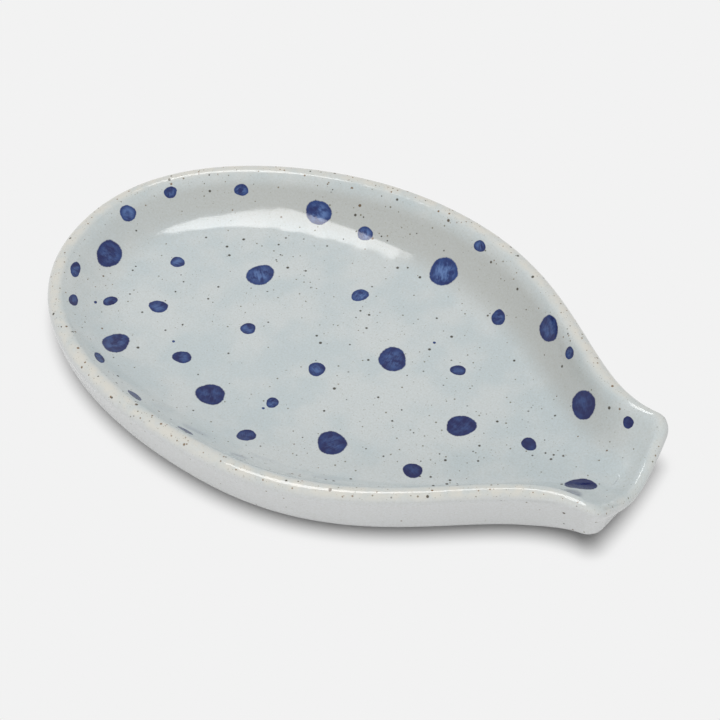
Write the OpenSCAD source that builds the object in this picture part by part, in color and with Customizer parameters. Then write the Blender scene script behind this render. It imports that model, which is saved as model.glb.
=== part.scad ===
// Ceramic spoon rest: a shallow pear-shaped dish, open at its narrow end between two raised
// ears, where a spoon's handle lies. One fired body of stoneware clay stands on a low foot
// ring, a thin coat of glaze covers it, and cobalt spots are set in the glaze inside it.
// The origin is on the table, below the middle of the dish. +X runs to the lip, +Z is up.

/* [Dish] */
// Length of the dish, from its round end to its lip
dish_l = 240; // [200:1:290]
// Greatest width of the dish
dish_w = 153; // [130:1:185]
// Distance from the round end to the widest place
wide_at = 112; // [90:1:130]
// Height of the rim at the widest place
side_h = 21.6; // [18:0.2:28]
// Height of the rim at the round end
end_h = 15.6; // [14:0.2:24]

/* [Lip] */
// Width of the mouth, across its two raised ears
mouth_w = 53; // [48:0.5:64]
// Length of the trough that runs out between the ears
mouth_l = 27; // [20:1:36]
// Radius of each ear's corner, seen from above
ear_r = 6.2; // [4:0.1:8]
// Radius of the same corner at the rim's inner edge
ear_in_r = 3.4; // [2:0.1:5]
// Length over which each ear grows out of the flank
ear_l = 30; // [20:1:40]
// How far the lip bows out between its ears
lip_bow = 1.2; // [0.6:0.1:4]
// Height of the two ears
ear_h = 23.8; // [20:0.2:27]
// Height of the lip midway between the ears
lip_h = 12; // [10:0.1:14]
// Thickness of the lip's rounded edge
lip_t = 4.8; // [4:0.1:5.6]
// Distance from the lip's edge in to the middle of its rounded lower edge
lip_in = 6.8; // [5:0.2:10]
// Height of the underside below the lip
lip_under_h = 5.6; // [3:0.2:6.4]
// Length over which the underside rises to the lip
lip_rise_l = 28; // [18:1:36]

/* [Wall and floor] */
// Thickness of the rounded rim, with its glaze
rim_t = 7.2; // [5.4:0.2:8.4]
// Lean of the outer wall, in degrees from upright
wall_lean = 12; // [4:1:18]
// Radius of the outer wall's rounded lower edge
low_r = 5.2; // [3:0.1:7]
// Width of the inner slope, from the rim's edge to the floor
slope_w = 24; // [16:0.5:30]
// Thickness of the clay floor
floor_t = 4; // [3:0.1:5]
// Width of the flat floor where it runs out between the ears
tongue_w = 6; // [4:0.5:12]
// Distance from the lip's edge back to the end of the flat floor
tongue_back = 9; // [7:0.5:14]

/* [Foot] */
// Height of the foot ring below the glazed underside
foot_h = 1; // [0.8:0.1:2.5]
// Width of the foot ring's bare face
foot_w = 4; // [3:0.1:6]
// Radius of the front corners of the glazed patch inside the foot ring
foot_r = 4; // [2:0.5:6]
// Distance from the dish's edge in to the glaze's lower edge
foot_in = 14; // [12:0.5:20]
// Width of bare clay wiped clean on both sides of the foot ring
wipe_w = 0.8; // [0.4:0.1:1.5]

/* [Glaze] */
// Thickness of the glaze coat
glaze_t = 0.4; // [0.3:0.05:0.6]

/* [Cobalt spots] */
// Mean diameter of a large spot
large_spot_d = 11; // [8:0.2:13]
// Mean diameter of a small spot
small_spot_d = 7; // [5.4:0.2:8.6]
// Mean diameter of a stray speck of cobalt
speck_d = 1.2; // [1:0.1:2]

/* [Hidden] */

// Steps along the round end, the flank, an ear's corner and half the lip
END_STEPS = 14;
FLANK_STEPS = 18;
EAR_STEPS = 7;
LIP_STEPS = 7;
// Steps around the lower edge, over the rim and down the inner slope
LOW_STEPS = 3;
RIM_STEPS = 7;
SLOPE_STEPS = 5;
// Points on a spot's outline
SPOT_STEPS = 16;

// Angle over the rim, from its outer side, at which the inner slope starts: along the dish,
// and at the ears and the lip
RIM_END = 135;
LIP_END = 118;
// Bend of the inner slope: 1 is straight, more is hollower
SLOPE_BEND = 2.1;
// Largest part of the wall's height that its rounded lower edge takes
bend_share = 0.9;
// Reach of the outline's curve handles, as shares of the stretch that each one bends
end_handle_share = 0.72;
end_wide_handle_share = 0.43;
flank_wide_handle_share = 0.54;
flank_mouth_handle_share = 0.27;
// How round the bottom of the lip's dip is, as a share of half the mouth's width
dip_round_share = 0.35;
// How far the spots' outlines wander, as shares of their radius
wobble_shares = [0.05, 0.035];

// Places of the spots. Each row holds the place along the dish and across it, as shares of
// its length and of half its width, the spot's two diameters in plan, as shares of the mean
// diameter above, and its turn in degrees. On the steep wall a spot is narrow in plan.
large_spot_shares = [
    [-0.432, -0.07, 1.20, 0.84, 113],
    [-0.205, 0.72, 1.00, 0.76, 13],
    [-0.312, -0.52, 1.10, 0.86, 91],
    [-0.135, -0.525, 1.00, 0.95, 15],
    [0.070, -0.465, 1.03, 1.00, 24],
    [0.028, 0.725, 1.12, 0.91, 164],
    [0.241, 0.587, 1.04, 0.46, 144],
    [0.355, 0.293, 1.15, 0.60, 150],
    [0.424, -0.105, 1.03, 0.75, 28],
    [0.212, -0.05, 1.00, 0.95, 40],
    [-0.215, 0.25, 1.05, 0.95, 60],
    [0.055, 0.13, 1.10, 1.00, 120]
];
small_spot_shares = [
    [-0.423, 0.407, 0.77, 0.57, 50],
    [-0.333, 0.623, 0.80, 0.60, 27],
    [-0.453, 0.177, 1.03, 0.79, 84],
    [-0.120, 0.736, 0.96, 0.70, 11],
    [-0.445, -0.283, 1.07, 0.53, 117],
    [-0.340, 0.10, 0.90, 0.75, 165],
    [-0.375, -0.304, 0.89, 0.62, 79],
    [-0.308, -0.197, 1.09, 0.91, 26],
    [-0.408, -0.45, 0.90, 0.50, 118],
    [-0.215, -0.405, 1.04, 0.89, 27],
    [-0.300, -0.69, 1.00, 0.50, 138],
    [-0.205, -0.81, 1.10, 0.50, 155],
    [-0.100, -0.865, 1.00, 0.45, 170],
    [-0.048, -0.409, 0.76, 0.67, 129],
    [-0.043, -0.645, 1.01, 0.91, 57],
    [0.198, -0.402, 1.04, 1.00, 101],
    [0.066, 0.862, 0.81, 0.40, 167],
    [0.149, 0.614, 1.00, 0.69, 139],
    [0.295, 0.485, 0.74, 0.32, 144],
    [0.436, 0.247, 0.68, 0.42, 163],
    [-0.165, -0.08, 0.90, 0.80, 0],
    [-0.060, 0.40, 1.00, 0.90, 75],
    [0.150, 0.24, 0.85, 0.75, 30],
    [-0.030, -0.12, 1.05, 0.90, 100],
    [0.315, 0.02, 0.95, 0.80, 150]
];
speck_shares = [
    [-0.388, -0.365, 1.20, 1.00, 114],
    [-0.245, -0.344, 1.00, 1.00, 0],
    [-0.053, -0.461, 1.00, 0.90, 30],
    [0.090, 0.33, 1.00, 1.00, 0]
];

rim_r = rim_t / 2;
lip_r = lip_t / 2;
back_x = -dish_l / 2;
front_x = dish_l / 2;
wide_x = back_x + wide_at;
floor_z = foot_h + floor_t + 2 * glaze_t;
foot_front_x = front_x - lip_rise_l;
cut_over = side_h;

// Eases from 0 to 1 as u goes from 0 to 1
function ease(u) = let (v = min(max(u, 0), 1)) v * v * (3 - 2 * v);
// A point on a cubic curve with ends a, d and handles b, c
function curve(a, b, c, d, t) =
    a * pow(1 - t, 3) + 3 * b * t * pow(1 - t, 2) + 3 * c * t * t * (1 - t) + d * pow(t, 3);
function unit(v) = v / norm(v);
function mirrored(points) = [
    for (i = [len(points) - 2 : -1 : 1]) [points[i][0], -points[i][1]]
];

// A closed pear-shaped outline: round at the back, straight-sided at its mouth
function outline(back, front, half_w, half_mouth, corner, bow) =
    let (
        wide = [wide_x, half_w],
        tilt = atan(2 * bow / (half_mouth - corner)),
        turn = [front - bow - corner * cos(tilt), half_mouth - corner],
        ear = [turn[0], half_mouth],
        lip_start = turn + corner * [cos(tilt), sin(tilt)],
        end_l = wide_x - back,
        flank_l = ear[0] - wide_x,
        half = concat(
            [for (i = [0 : END_STEPS - 1]) curve(
                [back, 0], [back, end_handle_share * half_w],
                wide - [end_wide_handle_share * end_l, 0], wide, i / END_STEPS)],
            [for (i = [0 : FLANK_STEPS - 1]) curve(
                wide, wide + [flank_wide_handle_share * flank_l, 0],
                ear - [flank_mouth_handle_share * flank_l, 0], ear, i / FLANK_STEPS)],
            [for (i = [0 : EAR_STEPS - 1]) let (a = 90 - (90 - tilt) * i / EAR_STEPS)
                turn + corner * [cos(a), sin(a)]],
            [for (i = [0 : LIP_STEPS]) let (y = lip_start[1] * (1 - i / LIP_STEPS))
                [front - (front - lip_start[0]) * pow(y / lip_start[1], 2), y]]
        )
    ) concat(half, mirrored(half));

// Outward directions at the points of a clockwise outline
function outward(points) = let (n = len(points)) [
    for (i = [0 : n - 1]) let (d = points[(i + 1) % n] - points[(i + n - 1) % n])
        unit([-d[1], d[0]])
];
function inset(points, d) = let (n = outward(points)) [
    for (i = [0 : len(points) - 1]) points[i] - n[i] * d
];

rim_line = outline(back_x, front_x, dish_w / 2, mouth_w / 2, ear_r, lip_bow);
rim_out = outward(rim_line);
inner_line = outline(back_x + rim_t, front_x - rim_t, dish_w / 2 - rim_t,
                     mouth_w / 2 - rim_t, ear_in_r, lip_bow);
slope_in = rim_t + slope_w;
floor_line = outline(back_x + slope_in, front_x - tongue_back, dish_w / 2 - slope_in,
                     tongue_w / 2, tongue_w / 4, 0);
foot_line = outline(back_x + foot_in, foot_front_x, dish_w / 2 - foot_in,
                    mouth_w / 2 - foot_in / 2, foot_r + foot_w + 2 * wipe_w, lip_bow);

// How far the ear has grown at each point of the rim line: 0 along the dish, 1 at the lip
ear_shares = [for (p = rim_line) ease((p[0] - front_x + ear_l) / (ear_l - ear_r))];
// Step inward at each point of the rim line for each unit of depth. At an ear it runs
// aslant, so that the rim and wall keep a round corner there
inward = [
    for (i = [0 : len(rim_line) - 1])
        let (
            step = (inner_line[i] - rim_line[i]) / rim_t,
            across = -step * rim_out[i]
        ) step * (1 + (across - 1) * ear_shares[i]) / across
];

// Height of the rim along the dish and at its ears
function side_z(x) =
    side_h + (end_h - side_h) * ease((wide_x - x) / wide_at)
    + (ear_h - side_h) * ease((x - wide_x) / (front_x - ear_r - wide_x));
// Shape of the dip between the ears: 0 in its middle, 1 at the ears
function dip_at(y) =
    let (u = min(abs(y) * 2 / mouth_w, 1), s = dip_round_share)
    (norm([u, s]) - s) / (norm([1, s]) - s);
// Height of the rim at a point of the rim line
function crest_z(p) =
    lip_h + (side_z(p[0]) - lip_h) * (p[0] < front_x - lip_bow - ear_r ? 1 : dip_at(p[1]));
// Height of the glazed underside, which rises under the lip
function under_z(x) =
    foot_h + (lip_under_h - foot_h) * ease((x - foot_front_x) / (lip_rise_l - lip_bow));
// Radius of the rim, thinner at the lip
function rim_r_at(p) = rim_r + (lip_r - rim_r) * ease((p[0] - foot_front_x)
                     / (front_x - lip_bow - foot_front_x));
// Height of the floor, which ramps up to the lip
function floor_z_at(x) =
    floor_z + (lip_h - lip_r / 2 - floor_z) * ease((x - foot_front_x + lip_rise_l)
                     / (2 * lip_rise_l));
// Height of the trough that runs out between the ears
function mouth_z(p) = floor_z_at(p[0]) + (side_z(p[0]) - lip_h) * dip_at(p[1]);

// Height half way through the floor
function mid_floor_z(x) = (under_z(x) + floor_z_at(x)) / 2;

// The rim and the outer wall at each point of the rim line: radius and height of the rim's
// round, then radius, height and depth of the wall's rounded lower edge, each at its centre,
// and the angle below level at which the wall touches both
walls = [
    for (i = [0 : len(rim_line) - 1])
        let (
            p = rim_line[i],
            r = rim_r_at(p),
            top = crest_z(p) - r,
            low = under_z(p[0]),
            bend = min(low_r, (top - low) * bend_share),
            down = top - low - bend,
            flank_in = down * tan(wall_lean) + bend,
            deep = flank_in + (lip_in - flank_in) * ear_shares[i],
            a = atan2(deep - r, down) + asin((r - bend) / norm([deep - r, down]))
        ) [r, top, bend, low + bend, deep, a]
];

// Surface of one layer of the dish, as rings of points from the foot over the rim to the
// floor. skin_t is how deep the layer lies below the glaze's own surface.
function place(p, z) = [p[0], p[1], z];
function on_arc(i, depth, z, radius, a) =
    place(rim_line[i] + inward[i] * (depth - radius * cos(a)), z + radius * sin(a));
function foot_ring_points(skin_t) = [
    for (p = foot_line) place(p, foot_h + skin_t)
];
function low_ring_points(skin_t, k) = [
    for (i = [0 : len(walls) - 1])
        let (w = walls[i])
            on_arc(i, w[4], w[3], w[2] - skin_t, -w[5] - (90 - w[5]) * (1 - k / LOW_STEPS))
];
function rim_ring_points(skin_t, k) = [
    for (i = [0 : len(walls) - 1])
        let (
            w = walls[i],
            end = RIM_END + (LIP_END - RIM_END) * ear_shares[i],
            a = k == 0 ? -w[5] : end * (k - 1) / (RIM_STEPS - 1)
        ) on_arc(i, w[0], w[1], w[0] - skin_t, a)
];
function slope_ring_points(skin_t, k) =
    let (edge = rim_ring_points(skin_t, RIM_STEPS), u = k / SLOPE_STEPS)
    [for (i = [0 : len(edge) - 1])
        let (
            e = edge[i],
            f = place(floor_line[i], floor_z_at(floor_line[i][0]) - skin_t),
            q = e + (f - e) * u,
            bowl = f[2] + (e[2] - f[2]) * pow(1 - u, SLOPE_BEND),
            mouth = mouth_z(q) - skin_t + (e[2] - mouth_z(e) + skin_t) * pow(1 - u, 2),
            in_mouth = ease((q[0] - front_x + mouth_l) / (mouth_l - tongue_back))
        ) place(q, bowl + (mouth - bowl) * in_mouth)
    ];
function layer(skin_t) = concat(
    [foot_ring_points(skin_t)],
    [for (k = [0 : LOW_STEPS]) low_ring_points(skin_t, k)],
    [for (k = [0 : RIM_STEPS]) rim_ring_points(skin_t, k)],
    [for (k = [1 : SLOPE_STEPS]) slope_ring_points(skin_t, k)]
);
function reversed(list) = [for (i = [len(list) - 1 : -1 : 0]) list[i]];

// A closed solid through a list of rings, with its first and last ring filled across
module skin(rings) {
    n = len(rings[0]);
    last = (len(rings) - 1) * n;
    half = n / 2;
    sides = [
        for (k = [0 : len(rings) - 2], i = [0 : n - 1])
            let (a = k * n + i, b = k * n + (i + 1) % n)
            each [[a, b, a + n], [b, b + n, a + n]]
    ];
    first_cap = [
        for (i = [0 : half - 1]) let (a = i, b = i + 1, c = n - i - 1, d = (n - i) % n)
            each concat(c == b ? [] : [[a, c, b]], d == a ? [] : [[a, d, c]])
    ];
    last_cap = [
        for (f = first_cap) [last + f[0], last + f[2], last + f[1]]
    ];
    polyhedron([for (r = rings) each r], concat(sides, first_cap, last_cap));
}

module foot_ring() {
    linear_extrude(foot_h + floor_t / 2) difference() {
        polygon(inset(foot_line, wipe_w));
        polygon(inset(foot_line, wipe_w + foot_w));
    }
}

// A spot's outline, slightly uneven as a loaded brush leaves it
module spot(long, wide, phase) {
    polygon([
        for (i = [0 : SPOT_STEPS - 1])
            let (
                a = 360 * i / SPOT_STEPS,
                r = 1 + wobble_shares[0] * sin(2 * a + phase)
                  + wobble_shares[1] * sin(3 * a + 2 * phase)
            ) [long * cos(a), wide * sin(a)] * r / 2
    ]);
}
module spot_columns(places, d) {
    for (s = places)
        translate([s[0] * dish_l, s[1] * dish_w / 2, mid_floor_z(s[0] * dish_l)])
            rotate(s[4])
                linear_extrude(cut_over)
                    spot(s[2] * d, s[3] * d, 360 * (s[0] + s[1]));
}
module glaze_coat() {
    skin(concat(reversed(layer(glaze_t)), layer(0)));
}

module clay_body() {
    color("tan") union() {
        skin(layer(glaze_t));
        foot_ring();
    }
}
module glaze() {
    color("lightsteelblue") difference() {
        glaze_coat();
        spot_columns(large_spot_shares, large_spot_d);
        spot_columns(small_spot_shares, small_spot_d);
        spot_columns(speck_shares, speck_d);
    }
}
module base_glaze() {
    color("lightsteelblue")
        translate([0, 0, foot_h])
            linear_extrude(glaze_t)
                polygon(inset(foot_line, 2 * wipe_w + foot_w));
}
module large_cobalt_spots() {
    color("royalblue") intersection() {
        glaze_coat();
        spot_columns(large_spot_shares, large_spot_d);
    }
}
module small_cobalt_spots() {
    color("royalblue") intersection() {
        glaze_coat();
        spot_columns(small_spot_shares, small_spot_d);
    }
}
module cobalt_specks() {
    color("royalblue") intersection() {
        glaze_coat();
        spot_columns(speck_shares, speck_d);
    }
}

clay_body();
glaze();
base_glaze();
large_cobalt_spots();
small_cobalt_spots();
cobalt_specks();
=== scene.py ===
import math

import bpy
import numpy as np
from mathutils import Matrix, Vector
from mathutils.bvhtree import BVHTree


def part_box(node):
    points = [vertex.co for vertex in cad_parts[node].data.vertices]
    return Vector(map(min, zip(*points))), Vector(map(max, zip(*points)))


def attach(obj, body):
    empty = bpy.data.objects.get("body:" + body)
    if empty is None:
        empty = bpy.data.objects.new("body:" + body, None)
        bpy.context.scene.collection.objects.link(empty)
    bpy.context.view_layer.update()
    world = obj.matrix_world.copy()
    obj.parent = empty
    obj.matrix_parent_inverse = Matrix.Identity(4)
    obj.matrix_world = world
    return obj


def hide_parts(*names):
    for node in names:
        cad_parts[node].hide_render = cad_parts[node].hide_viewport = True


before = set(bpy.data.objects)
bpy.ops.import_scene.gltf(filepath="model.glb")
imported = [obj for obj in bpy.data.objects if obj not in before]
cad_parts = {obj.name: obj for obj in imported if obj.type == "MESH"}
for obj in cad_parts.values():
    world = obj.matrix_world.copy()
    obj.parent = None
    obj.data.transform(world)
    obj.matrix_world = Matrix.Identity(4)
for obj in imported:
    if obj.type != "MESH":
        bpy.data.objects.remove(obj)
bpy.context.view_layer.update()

# Dressing for a glazed stoneware spoon rest: a fine clay body, a glaze coat cut round each
# cobalt spot, and the spots set in it. Lengths are millimetres, up to the floor and studio.

MM = 0.001
glaze_low, glaze_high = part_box("glaze")
DISH_L = (glaze_high.x - glaze_low.x) / MM
DISH_W = (glaze_high.y - glaze_low.y) / MM
WIDE_AT = 112
SIDE_H = 21.6
END_H = 15.6

MOUTH_W = 53
MOUTH_L = 27
EAR_R = 6.2
EAR_IN_R = 3.4
EAR_L = 30
LIP_BOW = 1.2
EAR_H = glaze_high.z / MM
LIP_H = 12
LIP_T = 4.8
LIP_IN = 6.8
LIP_UNDER_H = 5.6
LIP_RISE_L = 28

RIM_T = 7.2
WALL_LEAN = 12
LOW_R = 5.2
SLOPE_W = 24
FLOOR_T = 4
TONGUE_W = 6
TONGUE_BACK = 9

FOOT_H = 1
FOOT_W = 4
FOOT_R = 4
FOOT_IN = 14
WIPE_W = 0.8
FOOT_EDGE_R = 0.5
GLAZE_T = 0.4

# Where the rim and the lip pass into the inner slope, in degrees as the wall's lean is, how
# strongly the slope bends, and shares that shape the curves
RIM_END = 135
LIP_END = 118
SLOPE_BEND = 2.1
BEND_SHARE = 0.9
END_HANDLE_SHARE = 0.72
END_WIDE_HANDLE_SHARE = 0.43
FLANK_WIDE_HANDLE_SHARE = 0.54
FLANK_MOUTH_HANDLE_SHARE = 0.27
DIP_ROUND = 0.35
EDGE_STEP_SHARE = 0.3

# Steps along the outline, and of the rings from the foot over the rim to the floor
END_STEPS = 56
FLANK_STEPS = 72
EAR_STEPS = 20
LIP_STEPS = 28
BEAD_STEPS = 4
UNDER_STEPS = 6
LOW_STEPS = 8
WALL_STEPS = 4
RIM_STEPS = 22
SLOPE_STEPS = 24
CAP_STEPS = 30

RIM_R = RIM_T / 2
LIP_R = LIP_T / 2
BACK_X = -DISH_L / 2
FRONT_X = DISH_L / 2
WIDE_X = BACK_X + WIDE_AT
FLOOR_Z = FOOT_H + FLOOR_T + 2 * GLAZE_T
FOOT_FRONT_X = FRONT_X - LIP_RISE_L

# Spots: place along and across the dish as shares of its length and half its width, two
# diameters in plan as shares of the mean diameter, turn in degrees. The solids have the same.
LARGE_SPOT_D = 11
LARGE_SPOT_SHARES = [
    (-0.432, -0.07, 1.20, 0.84, 113),
    (-0.205, 0.72, 1.00, 0.76, 13),
    (-0.312, -0.52, 1.10, 0.86, 91),
    (-0.135, -0.525, 1.00, 0.95, 15),
    (0.070, -0.465, 1.03, 1.00, 24),
    (0.028, 0.725, 1.12, 0.91, 164),
    (0.241, 0.587, 1.04, 0.46, 144),
    (0.355, 0.293, 1.15, 0.60, 150),
    (0.424, -0.105, 1.03, 0.75, 28),
    (0.212, -0.05, 1.00, 0.95, 40),
    (-0.215, 0.25, 1.05, 0.95, 60),
    (0.055, 0.13, 1.10, 1.00, 120),
]
SMALL_SPOT_D = 7
SMALL_SPOT_SHARES = [
    (-0.423, 0.407, 0.77, 0.57, 50),
    (-0.333, 0.623, 0.80, 0.60, 27),
    (-0.453, 0.177, 1.03, 0.79, 84),
    (-0.120, 0.736, 0.96, 0.70, 11),
    (-0.445, -0.283, 1.07, 0.53, 117),
    (-0.340, 0.10, 0.90, 0.75, 165),
    (-0.375, -0.304, 0.89, 0.62, 79),
    (-0.308, -0.197, 1.09, 0.91, 26),
    (-0.408, -0.45, 0.90, 0.50, 118),
    (-0.215, -0.405, 1.04, 0.89, 27),
    (-0.300, -0.69, 1.00, 0.50, 138),
    (-0.205, -0.81, 1.10, 0.50, 155),
    (-0.100, -0.865, 1.00, 0.45, 170),
    (-0.048, -0.409, 0.76, 0.67, 129),
    (-0.043, -0.645, 1.01, 0.91, 57),
    (0.198, -0.402, 1.04, 1.00, 101),
    (0.066, 0.862, 0.81, 0.40, 167),
    (0.149, 0.614, 1.00, 0.69, 139),
    (0.295, 0.485, 0.74, 0.32, 144),
    (0.436, 0.247, 0.68, 0.42, 163),
    (-0.165, -0.08, 0.90, 0.80, 0),
    (-0.060, 0.40, 1.00, 0.90, 75),
    (0.150, 0.24, 0.85, 0.75, 30),
    (-0.030, -0.12, 1.05, 0.90, 100),
    (0.315, 0.02, 0.95, 0.80, 150),
]
SPECK_D = 1.2
SPECK_SHARES = [
    (-0.388, -0.365, 1.20, 1.00, 114),
    (-0.245, -0.344, 1.00, 1.00, 0),
    (-0.053, -0.461, 1.00, 0.90, 30),
    (0.090, 0.33, 1.00, 1.00, 0),
]
SPOT_SIDES = 64
SPOT_RING_SHARES = (0.16, 0.32, 0.48, 0.62, 0.74, 0.84, 0.91, 0.96, 1.0)
# How far a spot's radius swings, as shares of it: over two and three waves round it, and the
# finer waves that a brush leaves, each with their number
WOBBLE_SHARES = (0.05, 0.035)
BRUSH_WOBBLES = ((5, 0.012), (8, 0.007), (11, 0.003))


def ease(u):
    """Goes smoothly from 0 to 1 as u does, and stays level beyond."""
    v = np.clip(u, 0, 1)
    return v * v * (3 - 2 * v)


def curve(a, b, c, d, steps):
    """Points on a cubic curve with ends a, d and handles b, c, without its end."""
    t = (np.arange(steps) / steps)[:, None]
    a, b, c, d = (np.array(p, float) for p in (a, b, c, d))
    return a * (1 - t) ** 3 + 3 * b * t * (1 - t) ** 2 + 3 * c * t * t * (1 - t) + d * t**3


def outline(back, front, half_w, half_mouth, corner, bow):
    """A closed pear-shaped outline: round at the back, straight-sided at its mouth."""
    wide = (WIDE_X, half_w)
    tilt = math.atan(2 * bow / (half_mouth - corner))
    turn = np.array([front - bow - corner * math.cos(tilt), half_mouth - corner])
    ear = (turn[0], half_mouth)
    lip_start = turn + corner * np.array([math.cos(tilt), math.sin(tilt)])
    end_l = WIDE_X - back
    flank_l = ear[0] - WIDE_X
    end = curve(
        (back, 0),
        (back, END_HANDLE_SHARE * half_w),
        (WIDE_X - END_WIDE_HANDLE_SHARE * end_l, half_w),
        wide,
        END_STEPS,
    )
    flank = curve(
        wide,
        (WIDE_X + FLANK_WIDE_HANDLE_SHARE * flank_l, half_w),
        (ear[0] - FLANK_MOUTH_HANDLE_SHARE * flank_l, half_mouth),
        ear,
        FLANK_STEPS,
    )
    a = math.pi / 2 - (math.pi / 2 - tilt) * np.arange(EAR_STEPS) / EAR_STEPS
    corner_arc = turn + corner * np.column_stack([np.cos(a), np.sin(a)])
    y = lip_start[1] * (1 - np.arange(LIP_STEPS + 1) / LIP_STEPS)
    lip = np.column_stack([front - (front - lip_start[0]) * (y / lip_start[1]) ** 2, y])
    half = np.vstack([end, flank, corner_arc, lip])
    return np.vstack([half, half[1:-1][::-1] * (1, -1)])


def outward(points):
    """Unit normals that point out of a closed outline."""
    d = np.roll(points, -1, 0) - np.roll(points, 1, 0)
    n = np.column_stack([-d[:, 1], d[:, 0]])
    return n / np.linalg.norm(n, axis=1)[:, None]


def inset(points, d):
    """An outline moved inward by d, or outward where d is negative."""
    return points - outward(points) * d


SLOPE_IN = RIM_T + SLOPE_W
rim_line = outline(BACK_X, FRONT_X, DISH_W / 2, MOUTH_W / 2, EAR_R, LIP_BOW)
rim_out = outward(rim_line)
inner_line = outline(
    BACK_X + RIM_T, FRONT_X - RIM_T, DISH_W / 2 - RIM_T, MOUTH_W / 2 - RIM_T, EAR_IN_R, LIP_BOW
)
floor_line = outline(
    BACK_X + SLOPE_IN, FRONT_X - TONGUE_BACK, DISH_W / 2 - SLOPE_IN, TONGUE_W / 2, TONGUE_W / 4, 0
)
foot_line = outline(
    BACK_X + FOOT_IN,
    FOOT_FRONT_X,
    DISH_W / 2 - FOOT_IN,
    MOUTH_W / 2 - FOOT_IN / 2,
    FOOT_R + FOOT_W + 2 * WIPE_W,
    LIP_BOW,
)


# How far the ear has grown out of the flank at each point: 0 along the flank, 1 at the lip
ear_share = ease((rim_line[:, 0] - FRONT_X + EAR_L) / (EAR_L - EAR_R))

# Inward step at each rim point, one across the rim. Round an ear it is longer and runs
# aslant, so that the rim, wall and slope keep a round corner there
step = (inner_line - rim_line) / RIM_T
across = -(step * rim_out).sum(1)
inward = step * ((1 + (across - 1) * ear_share) / across)[:, None]


def side_z(x):
    """Height of the rim's crest along the dish: lowest at the round end, highest at the ears."""
    return (
        SIDE_H
        + (END_H - SIDE_H) * ease((WIDE_X - x) / WIDE_AT)
        + (EAR_H - SIDE_H) * ease((x - WIDE_X) / (FRONT_X - EAR_R - WIDE_X))
    )


def dip_at(y):
    """0 midway between the ears, 1 at them: a valley with a round bottom."""
    u = np.clip(np.abs(y) * 2 / MOUTH_W, 0, 1)
    return (np.hypot(u, DIP_ROUND) - DIP_ROUND) / (math.hypot(1, DIP_ROUND) - DIP_ROUND)


def crest_z(p):
    """Height of the rim's crest at outline points, with the valley between the ears."""
    dip = np.where(p[:, 0] < FRONT_X - LIP_BOW - EAR_R, 1, dip_at(p[:, 1]))
    return LIP_H + (side_z(p[:, 0]) - LIP_H) * dip


def under_z(x):
    """Height of the underside, which rises from the foot's front end to the lip."""
    return FOOT_H + (LIP_UNDER_H - FOOT_H) * ease((x - FOOT_FRONT_X) / (LIP_RISE_L - LIP_BOW))


def rim_r_at(p):
    """Radius of the rim at outline points, smallest at the lip."""
    share = ease((p[:, 0] - FOOT_FRONT_X) / (FRONT_X - LIP_BOW - FOOT_FRONT_X))
    return RIM_R + (LIP_R - RIM_R) * share


def floor_z_at(x):
    """Height of the floor's top, which ramps up to the lip."""
    share = ease((x - FOOT_FRONT_X + LIP_RISE_L) / (2 * LIP_RISE_L))
    return FLOOR_Z + (LIP_H - LIP_R / 2 - FLOOR_Z) * share


def mouth_z(p):
    """Height of the trough that runs out between the ears."""
    floor = floor_z_at(p[:, 0])
    return floor + (side_z(p[:, 0]) - LIP_H) * dip_at(p[:, 1])


rim_r = rim_r_at(rim_line)
rim_z = crest_z(rim_line) - rim_r
low_z = under_z(rim_line[:, 0])
bend_r = np.minimum(LOW_R, (rim_z - low_z) * BEND_SHARE)
flank_in = (rim_z - low_z - bend_r) * math.tan(math.radians(WALL_LEAN)) + bend_r
wall_end = flank_in + (LIP_IN - flank_in) * ear_share

# Angle below level at which the outer wall leaves the rim and meets its lower bend, so that
# the wall runs on smoothly from both
wall_in = wall_end - rim_r
wall_down = rim_z - low_z - bend_r
wall_angle = np.arctan2(wall_in, wall_down)
wall_angle += np.arcsin((rim_r - bend_r) / np.hypot(wall_in, wall_down))


def on_arc(centre_depth, centre_z, radius, angle):
    """A ring on an arc round each rim point: angle 0 faces out, positive is up."""
    depth = centre_depth - radius * np.cos(angle)
    return np.column_stack([rim_line + inward * depth[:, None], centre_z + radius * np.sin(angle)])


def low_ring(skin_t, share):
    """A ring on the wall's lower bend, at depth skin_t under the glaze's surface: share 0 is
    at the wall, 1 at the underside."""
    angle = -wall_angle - (math.pi / 2 - wall_angle) * share
    return on_arc(wall_end, low_z + bend_r, bend_r - skin_t, angle)


def rim_ring(skin_t, share):
    """A ring on the rim: share 0 is at the outer wall, 1 at the inner slope."""
    rim_end = np.radians(RIM_END + (LIP_END - RIM_END) * ear_share)
    return on_arc(rim_r, rim_z, rim_r - skin_t, -wall_angle + (rim_end + wall_angle) * share)


def slope_ring(skin_t, share):
    """A ring on the inner slope: share 0 is at the rim, 1 at the floor's edge."""
    edge = rim_ring(skin_t, 1)
    floor = np.column_stack([floor_line, floor_z_at(floor_line[:, 0]) - skin_t])
    flat = edge[:, :2] + (floor[:, :2] - edge[:, :2]) * share
    bowl = floor[:, 2] + (edge[:, 2] - floor[:, 2]) * (1 - share) ** SLOPE_BEND
    mouth = mouth_z(flat) - skin_t + (edge[:, 2] - mouth_z(edge) + skin_t) * (1 - share) ** 2
    in_mouth = ease((flat[:, 0] - FRONT_X + MOUTH_L) / (MOUTH_L - TONGUE_BACK))
    return np.column_stack([flat, bowl + (mouth - bowl) * in_mouth])


def flat_ring(points, z):
    return np.column_stack([points, np.full(len(points), float(z))])


def between(a, b, steps):
    """The rings between a and b, without these two."""
    return [a + (b - a) * k / steps for k in range(1, steps)]


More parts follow.
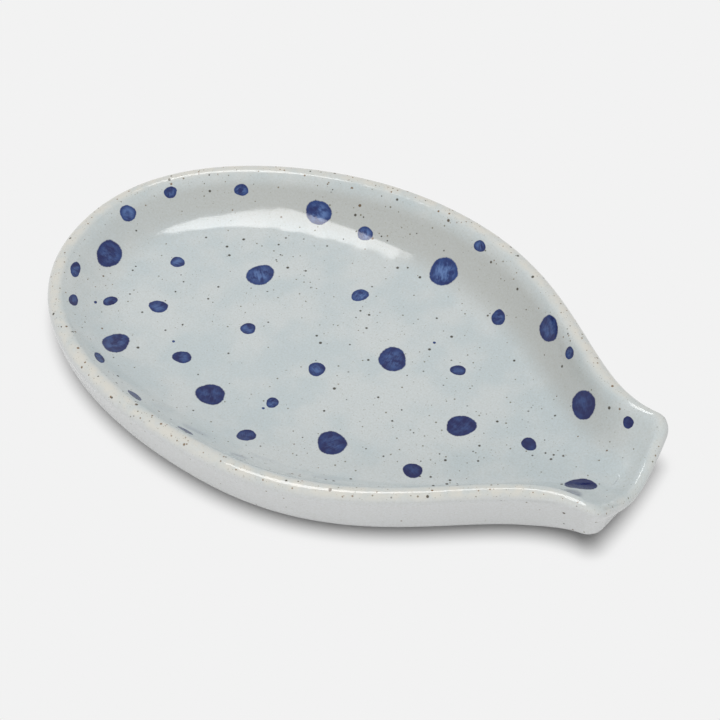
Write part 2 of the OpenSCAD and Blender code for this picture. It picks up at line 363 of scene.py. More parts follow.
def layer(skin_t, foot_edge):
    """Rings of one layer, from its edge at the foot over the rim to the floor's edge."""
    low_end = low_ring(skin_t, 1)
    rings = [foot_edge]
    rings += between(foot_edge, low_end, UNDER_STEPS)
    rings += [low_ring(skin_t, 1 - k / LOW_STEPS) for k in range(LOW_STEPS + 1)]
    rings += between(low_ring(skin_t, 0), rim_ring(skin_t, 0), WALL_STEPS)
    rings += [rim_ring(skin_t, k / RIM_STEPS) for k in range(RIM_STEPS + 1)]
    rings += [slope_ring(skin_t, k / SLOPE_STEPS) for k in range(1, SLOPE_STEPS + 1)]
    return rings


def bead(points, side, stop):
    """Rings of the glaze's rounded edge at the foot, from the clay down to its face. side is
    1 where the glaze lies inside the edge line, -1 where it lies outside."""
    rings = []
    for k in range(1, stop):
        a = math.pi / 2 * k / BEAD_STEPS
        shift = side * GLAZE_T * (1 - math.cos(a))
        rings.append(flat_ring(inset(points, shift), FOOT_H + GLAZE_T * (1 - math.sin(a))))
    return rings


def loft(rings):
    """Vertices and faces of a closed solid through rings, its two ends filled by rows of
    quads across the dish."""
    n = len(rings[0])
    points = list(rings)
    faces = []
    for k in range(len(rings) - 1):
        for i in range(n):
            j = (i + 1) % n
            faces.append((k * n + i, (k + 1) * n + i, (k + 1) * n + j, k * n + j))
    start = len(rings) * n
    for ring_index, flip in ((0, True), (len(rings) - 1, False)):
        ring = rings[ring_index]
        base = ring_index * n
        half = n // 2
        rows = [[base] * (CAP_STEPS + 1)]
        for i in range(1, half):
            a, b = ring[i], ring[n - i]
            inner = [a + (b - a) * k / CAP_STEPS for k in range(1, CAP_STEPS)]
            points.append(np.array(inner))
            rows.append([base + i] + list(range(start, start + CAP_STEPS - 1)) + [base + n - i])
            start += CAP_STEPS - 1
        rows.append([base + half] * (CAP_STEPS + 1))
        for near, far in zip(rows, rows[1:]):
            for k in range(CAP_STEPS):
                face = [near[k], far[k], far[k + 1], near[k + 1]]
                face = [v for m, v in enumerate(face) if v != face[m - 1]]
                faces.append(tuple(face if flip else face[::-1]))
    return np.vstack(points), faces


def new_piece(name, points, faces):
    """A smoothly shaded object from points in millimetres."""
    mesh = bpy.data.meshes.new(name)
    mesh.from_pydata((np.asarray(points) * MM).tolist(), [], faces)
    mesh.validate()
    mesh.update()
    mesh.shade_smooth()
    piece = bpy.data.objects.new(name, mesh)
    bpy.context.scene.collection.objects.link(piece)
    return piece


def point_values(piece, name, values):
    data = piece.data.attributes.new(name, "FLOAT", "POINT")
    data.data.foreach_set("value", np.asarray(values, np.float32))


def positions(piece):
    co = np.zeros(len(piece.data.vertices) * 3, np.float32)
    piece.data.vertices.foreach_get("co", co)
    return co.reshape(-1, 3)


def normals(piece):
    n = np.zeros(len(piece.data.vertices) * 3, np.float32)
    piece.data.vertex_normals.foreach_get("vector", n)
    return n.reshape(-1, 3)


def spot_outline(spot, mean_d, phase_step):
    """A spot's outline in plan, slightly uneven as a loaded brush leaves it."""
    x, y, long_share, wide_share, turn = spot
    phase = 2 * math.pi * (x + y)
    a = 2 * math.pi * np.arange(SPOT_SIDES) / SPOT_SIDES
    r = 1 + WOBBLE_SHARES[0] * np.sin(2 * a + phase) + WOBBLE_SHARES[1] * np.sin(3 * a + 2 * phase)
    for k, (waves, share) in enumerate(BRUSH_WOBBLES):
        r = r + share * np.sin(waves * a + phase_step * (k + 1))
    oval = np.column_stack([long_share * np.cos(a), wide_share * np.sin(a)])
    flat = oval * r[:, None] * mean_d / 2
    t = math.radians(turn)
    turned = flat @ np.array([[math.cos(t), math.sin(t)], [-math.sin(t), math.cos(t)]])
    return turned + (x * DISH_L, y * DISH_W / 2)


def prism(points, z_low, z_high):
    """Points and faces of an upright block on an outline."""
    n = len(points)
    low, high = flat_ring(points, z_low), flat_ring(points, z_high)
    sides = [(i, (i + 1) % n, n + (i + 1) % n, n + i) for i in range(n)]
    caps = [tuple(range(n))[::-1], tuple(range(n, 2 * n))]
    return np.vstack([low, high]), sides + caps


# The least distance in metres that counts when a face's corners are blended
NEAREST = 1e-7


class Surface:
    """The uncut glaze coat, to look places, normals and values up on."""

    def __init__(self, piece):
        self.mesh = piece.data
        self.tree = BVHTree.FromObject(piece, bpy.context.evaluated_depsgraph_get())
        self.co = positions(piece)
        self.normals = normals(piece)
        self.faces = [tuple(f.vertices) for f in self.mesh.polygons]

    def weights(self, where, face_index):
        """The corners of the face and how near the point is to each of them."""
        corners = self.faces[face_index]
        d = np.linalg.norm(self.co[list(corners)] - np.array(where), axis=1)
        w = 1 / np.maximum(d, NEAREST) ** 2
        return list(corners), w / w.sum()

    def blend_at(self, where, face_index, values):
        corners, w = self.weights(where, face_index)
        return (values[corners] * w[:, None] if values.ndim > 1 else values[corners] * w).sum(0)

    def below(self, x, y, z_from):
        """The place where the first surface below a point lies."""
        return self.tree.ray_cast(Vector((x, y, z_from)), Vector((0, 0, -1)))[0]


def take_values(piece, surface, names):
    """Gives a cut piece the uncut coat's smooth normals and named point values."""
    out = {name: [] for name in names}
    shared = []
    source = {}
    for name in names:
        values = np.zeros(len(surface.mesh.vertices), np.float32)
        surface.mesh.attributes[name].data.foreach_get("value", values)
        source[name] = values
    for v in piece.data.vertices:
        where, _, index, _ = surface.tree.find_nearest(v.co)
        n = surface.blend_at(where, index, surface.normals)
        shared.append(n / np.linalg.norm(n))
        for name in names:
            out[name].append(surface.blend_at(where, index, source[name]))
    for name in names:
        old = piece.data.attributes.get(name)
        if old:
            piece.data.attributes.remove(old)
        point_values(piece, name, out[name])
    piece.data.normals_split_custom_set_from_vertices(shared)


# The glaze coat, uncut
edge_low = flat_ring(inset(foot_line, -GLAZE_T), FOOT_H)
edge_top = flat_ring(foot_line, FOOT_H + GLAZE_T)
outer_rings = layer(0, edge_low)
inner_rings = layer(GLAZE_T, edge_top)
bead_rings = bead(foot_line, -1, BEAD_STEPS)
coat_points, coat_faces = loft(inner_rings[::-1] + bead_rings + outer_rings)
coat = new_piece("glaze_coat", coat_points, coat_faces)

# Changes of the glaze over the rings of the rim or of the slope: the ring at which each
# begins, and how many rings it takes
THIN_GROWS = (3, 8)
THIN_FADES = (15, 7)
OUTER_FADES = (2, 12)
SLOPE_TOP = (0, 4)
POOL_GROWS = (9, 12)
THIN_LOSS_SHARE = 0.8
EAR_THIN_LOSS_SHARE = 0.6
EAR_GREY_LOSS_SHARE = 0.5


def done_at(k, change):
    """How much of a change is done at ring k, 0 to 1."""
    start, count = change
    return float(ease((k - start) / count))


rim_rings = range(RIM_STEPS + 1)
slope_rings = range(1, SLOPE_STEPS + 1)
wall_n = UNDER_STEPS + LOW_STEPS + WALL_STEPS
# How thin the glaze lies: 1 on the rim's crest and less at the ears, 0 on the outer wall
# and the floor
thin_by_ring = [0.0] * wall_n
thin_by_ring += [
    done_at(k, THIN_GROWS) * (1 - THIN_LOSS_SHARE * done_at(k, THIN_FADES)) for k in rim_rings
]
thin_by_ring += [(1 - THIN_LOSS_SHARE) * (1 - done_at(k, SLOPE_TOP)) for k in slope_rings]
# How much glaze has pooled: 1 on the floor and the rim, 0 high on the inner slope. The grey where
# it is 0 on the far slope is partly painted shade.
pooled_and_lit_by_ring = [1.0] * (wall_n + len(rim_rings))
pooled_and_lit_by_ring += [1 - done_at(k, SLOPE_TOP) + done_at(k, POOL_GROWS) for k in slope_rings]
# How far outside a ring lies: 1 on the outer wall, less and less over the rim, then 0
outer_by_ring = [1.0] * wall_n
outer_by_ring += [1 - done_at(k, OUTER_FADES) for k in rim_rings]
outer_by_ring += [0.0] * len(slope_rings)
ring_n = len(rim_line)
first_outer = (len(inner_rings) + len(bead_rings)) * ring_n
first_cap = (len(inner_rings) + len(bead_rings) + len(outer_rings)) * ring_n
# The grey lies high on the far slope, half as much so at the ears, and not at all on the near
# slope. It is partly unpooled glaze and partly painted shade, as that slope faces away from the
# light.
far_share = ease(rim_line[:, 1] / DISH_W + 0.5)
thin_share = 1 - EAR_THIN_LOSS_SHARE * ear_share
grey_and_shade_share = (1 - EAR_GREY_LOSS_SHARE * ear_share) * far_share
for name, by_ring, on_floor, full, share in (
    ("thin", thin_by_ring, 0.0, 0.0, thin_share),
    ("pooled_and_lit", pooled_and_lit_by_ring, 1.0, 1.0, grey_and_shade_share),
    ("outer", outer_by_ring, 0.0, 0.0, 1.0),
):
    values = np.zeros(len(coat_points))
    values[first_cap:] = on_floor
    for k, value in enumerate(by_ring):
        start = first_outer + k * ring_n
        values[start : start + ring_n] = full + (value - full) * share
    point_values(coat, name, values)
coat_surface = Surface(coat)
COAT_VALUES = ("thin", "pooled_and_lit", "outer")

# Spots set in the coat, each a closed tile of glaze with cobalt in it
SPOT_GROUPS = (
    ("large_cobalt_spots", LARGE_SPOT_SHARES, LARGE_SPOT_D),
    ("small_cobalt_spots", SMALL_SPOT_SHARES, SMALL_SPOT_D),
    ("cobalt_specks", SPECK_SHARES, SPECK_D),
)
# Height, in metres, from which the coat is looked up, and of the cutter's top
LOOK_FROM = 40 * MM
# Shift of the brush's waves from one spot to the next, in radians
BRUSH_PHASE_STEP = 1.7
# How pale the middle of a spot is brushed: its mean, its spread, the step of it from one spot to
# the next, its gain toward the far side, and its loss toward the lip, which is painted shade on
# the spots at the neck
PALE_MEAN = 0.37
PALE_SPREAD = 0.3
PALE_STEP = 0.377
PALE_ACROSS = 0.4
SHADE_TOWARD_LIP = 1.6


def paleness(number, spot):
    """How pale the middle of a spot is, 0 to 1. It is darker toward the lip, as painted shade."""
    x, y = spot[:2]
    spread = PALE_SPREAD * (number * PALE_STEP % 1)
    pale = PALE_MEAN + spread + PALE_ACROSS * y - SHADE_TOWARD_LIP * max(x, 0)
    return min(max(pale, 0.0), 1.0)


def spot_tile(line, centre):
    """Points, faces and radii of one spot's tile: its top and its underside lie in the two
    surfaces of the coat."""
    places = [centre] + [centre + (p - centre) * s for s in SPOT_RING_SHARES for p in line]
    top = []
    low = []
    for x, y in places:
        where = coat_surface.below(x * MM, y * MM, LOOK_FROM)
        top.append(np.array(where) / MM)
        low.append(np.array(coat_surface.below(x * MM, y * MM, where.z - GLAZE_T * MM / 2)) / MM)
    n = len(line)
    radius = [0.0] + [s for s in SPOT_RING_SHARES for _ in range(n)]
    count = len(places)
    faces = [(0, 1 + i, 1 + (i + 1) % n) for i in range(n)]
    for k in range(len(SPOT_RING_SHARES) - 1):
        a, b = 1 + k * n, 1 + (k + 1) * n
        faces += [(a + i, b + i, b + (i + 1) % n, a + (i + 1) % n) for i in range(n)]
    faces += [tuple(v + count for v in f[::-1]) for f in faces]
    edge = 1 + (len(SPOT_RING_SHARES) - 1) * n
    for i in range(n):
        a, b = edge + i, edge + (i + 1) % n
        faces.append((a, a + count, b + count, b))
    return np.array(top + low), faces, radius * 2


cutter_points = []
cutter_faces = []
spot_pieces = []
for group, rows, mean_d in SPOT_GROUPS:
    points, faces, radii, pales = [], [], [], []
    for number, row in enumerate(rows):
        line = spot_outline(row, mean_d, BRUSH_PHASE_STEP * number)
        centre = np.array([row[0] * DISH_L, row[1] * DISH_W / 2])
        tile_points, tile_faces, tile_radii = spot_tile(line, centre)
        base = sum(len(p) for p in points)
        points.append(tile_points)
        faces += [tuple(v + base for v in f) for f in tile_faces]
        radii += tile_radii
        pales += [paleness(number, row)] * len(tile_radii)
        middle = (under_z(centre[0]) + floor_z_at(centre[0])) / 2
        block_points, block_faces = prism(line, middle, LOOK_FROM / MM)
        base = sum(len(p) for p in cutter_points)
        cutter_points.append(block_points)
        cutter_faces += [tuple(v + base for v in f) for f in block_faces]
    piece = new_piece(group.replace("cobalt", "brushed_cobalt"), np.vstack(points), faces)
    point_values(piece, "spot_r", radii)
    point_values(piece, "spot_pale", pales)
    take_values(piece, coat_surface, COAT_VALUES)
    spot_pieces.append((piece, group))

cutter = new_piece("cutter", np.vstack(cutter_points), cutter_faces)
glaze = new_piece("glaze_skin", coat_points, coat_faces)
cut = glaze.modifiers.new("cut", "BOOLEAN")
cut.operation = "DIFFERENCE"
cut.solver = "MANIFOLD"
cut.object = cutter
depsgraph = bpy.context.evaluated_depsgraph_get()
cut_mesh = bpy.data.meshes.new_from_object(glaze.evaluated_get(depsgraph))
glaze.modifiers.clear()
glaze.data = cut_mesh
cut_mesh.shade_smooth()
take_values(glaze, coat_surface, COAT_VALUES)
bpy.data.objects.remove(cutter)
bpy.data.objects.remove(coat)

# Degrees between two faces above which their edge shows as a crease, on the clay and the patch
CLAY_SHARP = 50
PATCH_SHARP = 80

# The clay body with its foot ring
clay_z = FOOT_H + GLAZE_T
ring_inner = WIPE_W + FOOT_W
edge_step = EDGE_STEP_SHARE * FOOT_EDGE_R
foot_profile = [
    (ring_inner + WIPE_W, clay_z),
    (ring_inner, clay_z),
    (ring_inner, FOOT_EDGE_R),
    (ring_inner - edge_step, edge_step),
    (ring_inner - FOOT_EDGE_R, 0),
    (WIPE_W + FOOT_W / 2, 0),
    (WIPE_W + FOOT_EDGE_R, 0),
    (WIPE_W + edge_step, edge_step),
    (WIPE_W, FOOT_EDGE_R),
    (WIPE_W, clay_z),
]
clay_rings = [flat_ring(inset(foot_line, d), z) for d, z in foot_profile]
clay_rings += layer(GLAZE_T, edge_top)
clay = new_piece("stoneware_body", *loft(clay_rings))
clay.data.set_sharp_from_angle(angle=math.radians(CLAY_SHARP))

# The patch of glaze inside the foot ring
patch_line = inset(foot_line, 2 * WIPE_W + FOOT_W)
patch_rings = bead(patch_line, 1, BEAD_STEPS + 1)[::-1] + [flat_ring(patch_line, clay_z)]
patch = new_piece("foot_glaze_patch", *loft(patch_rings))
patch.data.set_sharp_from_angle(angle=math.radians(PATCH_SHARP))
for name, value in (("thin", 0.0), ("pooled_and_lit", 1.0), ("outer", 1.0)):
    point_values(patch, name, np.full(len(patch.data.vertices), value))

# Grains in a material: shifts of their pattern along three axes as shares of a layer's shift,
# a grain's least size and how much larger it may be as shares of its layer's radius, and the
# share of its own radius up to which it is solid
GRAIN_SHIFT_SHARES = (1, 1.7, 0.6)
GRAIN_LEAST_SHARE = 0.5
GRAIN_SPREAD_SHARE = 0.7
GRAIN_SOLID_SHARE = 0.55


class Nodes:
    """A material's node tree, with short calls to add and link nodes."""

    def __init__(self, name):
        self.material = bpy.data.materials.new(name)
        self.material.use_nodes = True
        self.tree = self.material.node_tree
        self.shader = self.tree.nodes["Principled BSDF"]

    def add(self, kind, inputs=None, **settings):
        node = self.tree.nodes.new(kind)
        for key, value in settings.items():
            setattr(node, key, value)
        for key, value in (inputs or {}).items():
            if isinstance(value, bpy.types.NodeSocket):
                self.tree.links.new(value, node.inputs[key])
            else:
                node.inputs[key].default_value = value
        return node

    def math(self, operation, a, b=0.0, c=0.0):
        return self.add("ShaderNodeMath", {0: a, 1: b, 2: c}, operation=operation).outputs[0]

    def vector_math(self, operation, a, b):
        return self.add("ShaderNodeVectorMath", {0: a, 1: b}, operation=operation).outputs[0]

    def ramp(self, value, low, high, to_low=0.0, to_high=1.0):
        """Goes smoothly from to_low to to_high while the value goes from low to high."""
        inputs = {"Value": value, "From Min": low, "From Max": high}
        inputs.update({"To Min": to_low, "To Max": to_high})
        return self.add("ShaderNodeMapRange", inputs, interpolation_type="SMOOTHSTEP").outputs[0]

    def mix(self, factor, a, b):
        node = self.add("ShaderNodeMix", {0: factor, 6: a, 7: b}, data_type="RGBA")
        return node.outputs[2]

    def noise(self, scale, detail=2.0, rough=0.5, vector=None, distortion=0.0):
        inputs = {"Vector": vector or self.place(), "Scale": scale, "Detail": detail}
        inputs.update({"Roughness": rough, "Distortion": distortion})
        return self.add("ShaderNodeTexNoise", inputs).outputs["Fac"]

    def place(self):
        """Object coordinates in millimetres."""
        if not hasattr(self, "placed"):
            at = self.add("ShaderNodeTexCoord").outputs["Object"]
            self.placed = self.add(
                "ShaderNodeVectorMath", {0: at, "Scale": 1 / MM}, operation="SCALE"
            ).outputs[0]
        return self.placed

    def point_value(self, name):
        return self.add("ShaderNodeAttribute", attribute_name=name).outputs["Fac"]

    def bump(self, height):
        inputs = {"Strength": 1.0, "Distance": 1.0, "Height": height}
        return self.add("ShaderNodeBump", inputs).outputs[0]

    def specks(self, cell, radius, chance, shift):
        """Mask and tone of scattered grains: one try per cell of that size in mm."""
        shifts = tuple(shift * share for share in GRAIN_SHIFT_SHARES)
        moved = self.vector_math("ADD", self.place(), shifts)
        cells = self.add("ShaderNodeTexVoronoi", {"Vector": moved, "Scale": 1 / cell})
        parts = self.add("ShaderNodeSeparateColor", {0: cells.outputs["Color"]}).outputs
        least = radius / cell * GRAIN_LEAST_SHARE
        spread = radius / cell * GRAIN_SPREAD_SHARE
        size = self.math("MULTIPLY_ADD", parts[1], spread, least)
        near = self.math("DIVIDE", cells.outputs["Distance"], size)
        dot = self.ramp(near, 1.0, GRAIN_SOLID_SHARE)
        kept = self.math("LESS_THAN", parts[0], chance)
        return self.math("MULTIPLY", dot, kept), parts[2]


def rgb(red, green, blue):
    """A colour for a socket, written as it shows, 0 to 255, and made linear by sRGB's curve."""
    out = []
    for v in (red, green, blue):
        v = v / 255
        out.append(v / 12.92 if v <= 0.04045 else ((v + 0.055) / 1.055) ** 2.4)
    return (*out, 1.0)


POOL_GREY = rgb(188, 198, 201)
MILKY_GREY = rgb(198, 204, 205)
# The grey high on the far slope: partly unpooled glaze, partly painted shade
UNPOOLED_AND_SHADE_GREY = rgb(178, 181, 179)
OUTER_WHITE = rgb(198, 200, 201)
THIN_CREAM = rgb(207, 204, 195)
IRON_DARK = rgb(52, 46, 32)
IRON_RUST = rgb(112, 80, 36)
IRON_OLIVE = rgb(88, 82, 52)
IRON_FAINT = rgb(136, 130, 104)
COBALT_DARK = rgb(5, 17, 78)
COBALT_MID = rgb(22, 52, 110)
COBALT_PALE = rgb(90, 118, 168)
CLAY_BUFF = rgb(190, 170, 142)
CLAY_BROWN = rgb(168, 146, 118)
CLAY_SAND = rgb(206, 192, 170)
GLAZE_ROUGHNESS = 0.09
GLAZE_IOR = 1.45

# Noise patterns of the glaze: scale per millimetre, detail, and roughness where it has one.
# Levels are the two values of a noise or a sum between which a pattern comes up
CLOUDS = (0.06, 3)
CLOUD_LEVELS = (0.35, 0.65)
MIST = (1.4, 3, 0.65)
MIST_LEVELS = (0.3, 0.7)
MIST_MOST = 0.16
EDGE = (0.22, 3)
EDGE_LEVELS = (0.3, 0.65)
EDGE_AMOUNTS = (0.35, 0.9)
CROWDS = (0.05, 2)
CROWD_LEVELS = (0.4, 0.62)
CROWD_LEAST = 0.35
SWELL = (0.09, 1)
SWELL_H = 0.12
PEEL = (0.9, 2)
PEEL_H = 0.006

# Layers of iron specks: the size of a cell and a speck's radius, the share of cells that hold
# one, the pattern's shift, how strong they show, their two colours, and the share of cells
# that is added where the glaze is thin
SPECK_LAYERS = (
    (0.9, 0.2, 0.65, 3.0, 0.5, IRON_FAINT, IRON_OLIVE, 0.5),
    (1.9, 0.4, 0.36, 11.0, 0.75, IRON_OLIVE, IRON_RUST, 1.0),
    (3.2, 0.64, 0.34, 23.0, 0.92, IRON_DARK, IRON_RUST, 1.2),
)
# The share of specks that the outside lacks, and how much nearer to its second colour a
# speck comes where the glaze is thin
OUTER_LOSS_SHARE = 0.6
RUST_GAIN = 0.7
RUST_LEVELS = (0.5, 1.2)


def glaze_look(m):
    """Colour of the pale glaze with its iron specks."""
    pooled = m.mix(m.ramp(m.noise(*CLOUDS), *CLOUD_LEVELS), POOL_GREY, MILKY_GREY)
    # The far slope's grey, where the glaze is unpooled, is partly painted shade
    colour = m.mix(m.point_value("pooled_and_lit"), UNPOOLED_AND_SHADE_GREY, pooled)
    colour = m.mix(m.point_value("outer"), colour, OUTER_WHITE)
    mist = m.ramp(m.noise(*MIST), *MIST_LEVELS, 0.0, MIST_MOST)
    colour = m.mix(mist, colour, IRON_FAINT)
    ragged = m.ramp(m.noise(*EDGE), *EDGE_LEVELS, *EDGE_AMOUNTS)
    edge = m.math("MULTIPLY", m.point_value("thin"), ragged)
    colour = m.mix(edge, colour, THIN_CREAM)
    crowd = m.ramp(m.noise(*CROWDS), *CROWD_LEVELS, CROWD_LEAST, 1.0)
    inside = m.math("MULTIPLY_ADD", m.point_value("outer"), -OUTER_LOSS_SHARE, 1.0)
    for cell, radius, chance, shift, strength, low, high, more in SPECK_LAYERS:
        often = m.math("MULTIPLY", m.math("MULTIPLY", inside, chance), crowd)
        often = m.math("MULTIPLY_ADD", edge, more, often)
        mask, tone = m.specks(cell, radius, often, shift)
        rusty = m.math("MULTIPLY_ADD", edge, RUST_GAIN, tone)
        speck = m.mix(m.ramp(rusty, *RUST_LEVELS), low, high)
        colour = m.mix(m.math("MULTIPLY", mask, strength), colour, speck)
    return colour


def glaze_relief(m):
    """Slight unevenness of the fired glaze, as a bump."""
    peel = m.math("MULTIPLY", m.noise(*PEEL), PEEL_H * MM)
    return m.bump(m.math("MULTIPLY_ADD", m.noise(*SWELL), SWELL_H * MM, peel))


def finish_glaze(m, colour):
    m.tree.links.new(colour, m.shader.inputs["Base Color"])
    m.tree.links.new(glaze_relief(m), m.shader.inputs["Normal"])
    m.shader.inputs["Roughness"].default_value = GLAZE_ROUGHNESS
    m.shader.inputs["IOR"].default_value = GLAZE_IOR
    return m.material


def pale_glaze():
    m = Nodes("pale_glaze")
    return finish_glaze(m, glaze_look(m))


# The cobalt's brush strokes: how far a spot's turn, in radians for a paleness of 1, how the
# noise is stretched along them, and how wavy they are
STROKE_TURN = 37.0
STROKE_SHARES = (0.35, 1.5, 0.6)
STREAKS = (1.1, 4, 0.6)
STREAK_BEND = 0.6
WASH = (0.35, 2)
BRUSHED_LEVELS = (0.8, 1.25)
# The radii, as shares of a spot's own, between which it turns pale toward its middle, and how
# pale it is at most there: what a paleness of 1 adds, and the least
MIDDLE_RADII = (0.95, 0.35)
PALE_GAIN = 0.95
PALE_LEAST = 0.08
# The blue round the strokes: what a paleness of 1 adds to the wash
BLUE_GAIN = 0.4
BLUE_LEVELS = (0.4, 1.0)
# A spot's ragged edge: how far the noise moves it, and the radii between which it fades in
RAG = (1.2, 3)
RAG_SHARE = 0.12
COVER_RADII = (1.055, 0.965)


def cobalt_glaze():
    """The pale glaze with cobalt in it: dark at a spot's edge, brushed thin in its middle."""
    m = Nodes("cobalt_glaze")
    radius = m.point_value("spot_r")
    pale = m.point_value("spot_pale")
    angle = m.math("MULTIPLY", pale, STROKE_TURN)
    turned = m.add(
        "ShaderNodeVectorRotate", {"Vector": m.place(), "Angle": angle}, rotation_type="Z_AXIS"
    ).outputs[0]
    strokes = m.vector_math("MULTIPLY", turned, STROKE_SHARES)
    streak = m.noise(*STREAKS, vector=strokes, distortion=STREAK_BEND)
    wash = m.noise(*WASH)
    brushed = m.ramp(m.math("ADD", streak, wash), *BRUSHED_LEVELS)
    amount = m.math("MULTIPLY", m.ramp(radius, *MIDDLE_RADII), brushed)
    amount = m.math("MULTIPLY", amount, m.math("MULTIPLY_ADD", pale, PALE_GAIN, PALE_LEAST))
    blue = m.ramp(m.math("MULTIPLY_ADD", pale, BLUE_GAIN, wash), *BLUE_LEVELS)
    colour = m.mix(blue, COBALT_DARK, COBALT_MID)
    colour = m.mix(amount, colour, COBALT_PALE)
    rag = m.math("MULTIPLY_ADD", m.noise(*RAG), RAG_SHARE, radius)
    cover = m.ramp(rag, *COVER_RADII)
    return finish_glaze(m, m.mix(cover, glaze_look(m), colour))


# The bare clay: brown patches, pale sand with its height, and iron specks given as in the
# glaze by their cell, radius, share and shift
TOAST = (0.15, 3)
TOAST_LEVELS = (0.3, 0.7)
SAND = (2.2, 4, 0.7)
SAND_LEVELS = (0.35, 0.7)
SAND_MOST = 0.5
SAND_H = 0.09
CLAY_SPECKS = (1.3, 0.16, 0.35, 5.0)
CLAY_SPECK_STRENGTH = 0.85
CLAY_ROUGH_LEVELS = (0.3, 0.7)
CLAY_ROUGHNESS = (0.75, 0.95)


def bare_clay():
    """Fired clay without glaze, as the foot shows it."""
    m = Nodes("bare_stoneware")
    sand = m.noise(*SAND)
    colour = m.mix(m.ramp(m.noise(*TOAST), *TOAST_LEVELS), CLAY_BUFF, CLAY_BROWN)
    colour = m.mix(m.ramp(sand, *SAND_LEVELS, 0.0, SAND_MOST), colour, CLAY_SAND)
    mask, tone = m.specks(*CLAY_SPECKS)
    strength = m.math("MULTIPLY", mask, CLAY_SPECK_STRENGTH)
    colour = m.mix(strength, colour, m.mix(tone, IRON_DARK, IRON_RUST))
    roughness = m.ramp(sand, *CLAY_ROUGH_LEVELS, *CLAY_ROUGHNESS)
    m.tree.links.new(colour, m.shader.inputs["Base Color"])
    m.tree.links.new(m.bump(m.math("MULTIPLY", sand, SAND_H * MM)), m.shader.inputs["Normal"])
    m.tree.links.new(roughness, m.shader.inputs["Roughness"])
    return m.material


def dress(piece, material, slot, *replaced):
    """Gives a piece its material and body, and hides the solid nodes that it replaces. slot is not
    used.
    """
    piece.data.materials.clear()
    piece.data.materials.append(material)
    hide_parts(*replaced)
    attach(piece, "root")


glaze_material = pale_glaze()
cobalt_material = cobalt_glaze()
dress(glaze, glaze_material, "pale_glaze", "glaze")
dress(patch, glaze_material, "pale_glaze", "base_glaze")
for piece, group in spot_pieces:
    dress(piece, cobalt_material, "cobalt_glaze", group)
dress(clay, bare_clay(), "stoneware", "clay_body")

# Floor and studio, in metres from here on
BACKDROP = 0.888
FLOOR_TONE = 0.92
# The floor's tone that the camera sees near the object: a painted shadow
SHADOW_TONE = 0.32
FLOOR_ROUGHNESS = 0.9
# Rings of the floor by their distance from the dish's outline, and where the shadow's floor
# begins to pass into the plain one, and over what distance
FLOOR_RINGS = (-0.009, -0.007, -0.005, -0.003, -0.001, 0.001, 0.003, 0.006, 0.02, 0.2, 4.0)
SHADOW_FROM = -0.008
SHADOW_REACH = 0.012


def pale_floor():
    """A pale floor that keeps the object's shadow. Near the object the camera sees it in a deeper
    tone than other rays do, a painted shadow that darkens the cast one. Away from it the camera
    sees the backdrop's plain tone."""
    m = Nodes("pale_floor")
    m.shader.inputs["Roughness"].default_value = FLOOR_ROUGHNESS
    m.shader.inputs["Specular IOR Level"].default_value = 0.0
    plain = m.add("ShaderNodeEmission", {"Color": (BACKDROP, BACKDROP, BACKDROP, 1)}).outputs[0]
    seen = m.add("ShaderNodeLightPath").outputs["Is Camera Ray"]
    lit, shown = ((tone, tone, tone, 1) for tone in (FLOOR_TONE, SHADOW_TONE))
    m.tree.links.new(m.mix(seen, lit, shown), m.shader.inputs["Base Color"])
    share = m.math("MULTIPLY", seen, m.ramp(m.point_value("away"), 0.0, 1.0))
    output = m.tree.nodes["Material Output"]
    both = m.add("ShaderNodeMixShader", {0: share, 1: m.shader.outputs[0], 2: plain}).outputs[0]
    m.tree.links.new(both, output.inputs["Surface"])
    return m.material


def floor_plane():
    """A disc of rings round the object's outline, so that it knows how far it lies away."""
    line = rim_line * MM
    n = len(line)
    points = [(0.0, 0.0, 0.0)]
    away = [0.0]
    for d in FLOOR_RINGS:
        ways = rim_out if d > 0 else -inward
        points += [(*(p + d * way), 0.0) for p, way in zip(line, ways)]
        away += [min(max((d - SHADOW_FROM) / SHADOW_REACH, 0.0), 1.0)] * n
    faces = [(0, 1 + (i + 1) % n, 1 + i) for i in range(n)]
    for k in range(len(FLOOR_RINGS) - 1):
        a, b = 1 + k * n, 1 + (k + 1) * n
        faces += [(a + i, a + (i + 1) % n, b + (i + 1) % n, b + i) for i in range(n)]
    mesh = bpy.data.meshes.new("floor")
    mesh.from_pydata(points, [], faces)
    plane = bpy.data.objects.new("floor", mesh)
    bpy.context.scene.collection.objects.link(plane)
    point_values(plane, "away", away)
    mesh.materials.append(pale_floor())


floor_plane()

# Studio light: one large softbox overhead on the round end's side, a low fill from the
# front, and a pale surround
KEY_PLACE = Vector((-0.745, 0.24, 3.0))
KEY_SIZE = (0.74, 2.1)
KEY_TURN = -6
KEY_RADIANCE = 7.8
FILL_PLACE = Vector((1.45, -2.3, 0.95))
FILL_SIZE = (2.6, 1.5)
FILL_RADIANCE = 1.9


def softbox(name, place, size, radiance, facing, turn, mirrored):
    """An area light with the power that its radiance takes. Gloss shows it if mirrored is
    true."""
    light = bpy.data.lights.new(name, "AREA")
    light.shape = "RECTANGLE"
    light.size, light.size_y = size
    light.energy = radiance * math.pi * size[0] * size[1]
    lamp = bpy.data.objects.new(name, light)
    lamp.location = place
    lamp.rotation_euler = facing.to_track_quat("-Z", "Y").to_euler()
    lamp.rotation_euler.rotate_axis("Z", math.radians(turn))
    lamp.visible_glossy = mirrored
    bpy.context.scene.collection.objects.link(lamp)


softbox("key_softbox", KEY_PLACE, KEY_SIZE, KEY_RADIANCE, Vector((0, 0, -1)), KEY_TURN, True)
softbox("front_fill", FILL_PLACE, FILL_SIZE, FILL_RADIANCE, -FILL_PLACE, 0, False)

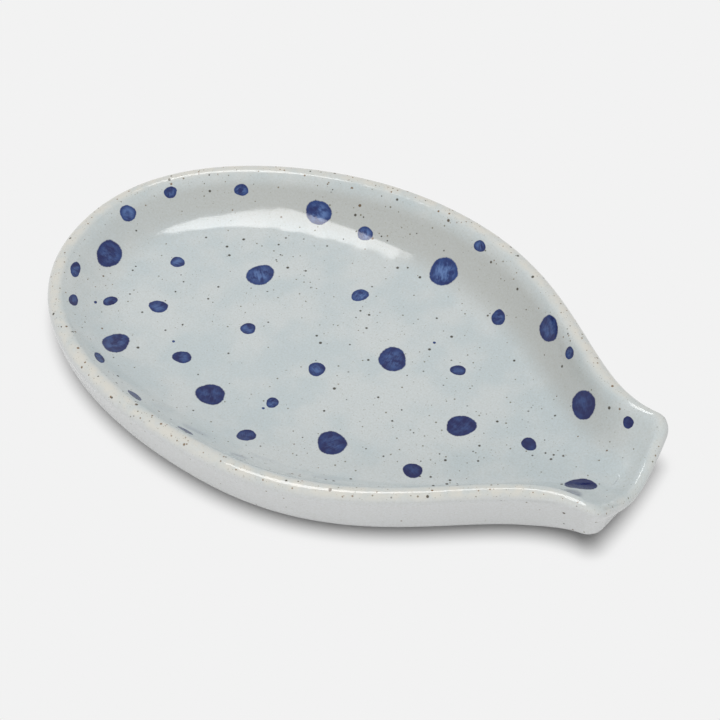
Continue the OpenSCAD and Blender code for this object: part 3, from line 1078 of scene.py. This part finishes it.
# The surround lights the dish at its own level. The camera and gloss see the backdrop's
SURROUND = 0.64
world = bpy.data.worlds.new("studio")
bpy.context.scene.world = world
world.use_nodes = True
tree = world.node_tree
background = tree.nodes["Background"]
rays = tree.nodes.new("ShaderNodeLightPath")
shown = tree.nodes.new("ShaderNodeMath")
shown.operation = "MAXIMUM"
tree.links.new(rays.outputs["Is Camera Ray"], shown.inputs[0])
tree.links.new(rays.outputs["Is Glossy Ray"], shown.inputs[1])
level = tree.nodes.new("ShaderNodeMapRange")
level.inputs["To Min"].default_value = SURROUND
level.inputs["To Max"].default_value = BACKDROP
tree.links.new(shown.outputs[0], level.inputs["Value"])
tree.links.new(level.outputs[0], background.inputs["Strength"])
background.inputs["Color"].default_value = (1, 1, 1, 1)

# Camera at the photograph's viewing angle
CAMERA_AZIMUTH = math.radians(33.5)
CAMERA_ELEVATION = math.radians(47.76)
CAMERA_DISTANCE = 0.9
PIXELS_PER_MM = 2.738
ORIGIN_PX = (347.2, 372.2)
IMAGE_PX = 720
SENSOR = 36.0

back = Vector(
    (
        math.sin(CAMERA_AZIMUTH) * math.cos(CAMERA_ELEVATION),
        -math.cos(CAMERA_AZIMUTH) * math.cos(CAMERA_ELEVATION),
        math.sin(CAMERA_ELEVATION),
    )
)
right = Vector((math.cos(CAMERA_AZIMUTH), math.sin(CAMERA_AZIMUTH), 0))
up = back.cross(right)
# The point at the image's centre, chosen so that the frame's origin falls on ORIGIN_PX
aim = (
    right * (IMAGE_PX / 2 - ORIGIN_PX[0]) - up * (IMAGE_PX / 2 - ORIGIN_PX[1])
) * MM / PIXELS_PER_MM
camera_data = bpy.data.cameras.new("camera")
camera_data.sensor_width = SENSOR
camera_data.lens = SENSOR * PIXELS_PER_MM * CAMERA_DISTANCE / MM / IMAGE_PX
camera = bpy.data.objects.new("camera", camera_data)
camera.location = back * CAMERA_DISTANCE
camera.rotation_euler = (aim - camera.location).to_track_quat("-Z", "Y").to_euler()
bpy.context.scene.collection.objects.link(camera)
bpy.context.scene.camera = camera
bpy.context.scene.view_settings.view_transform = "Standard"
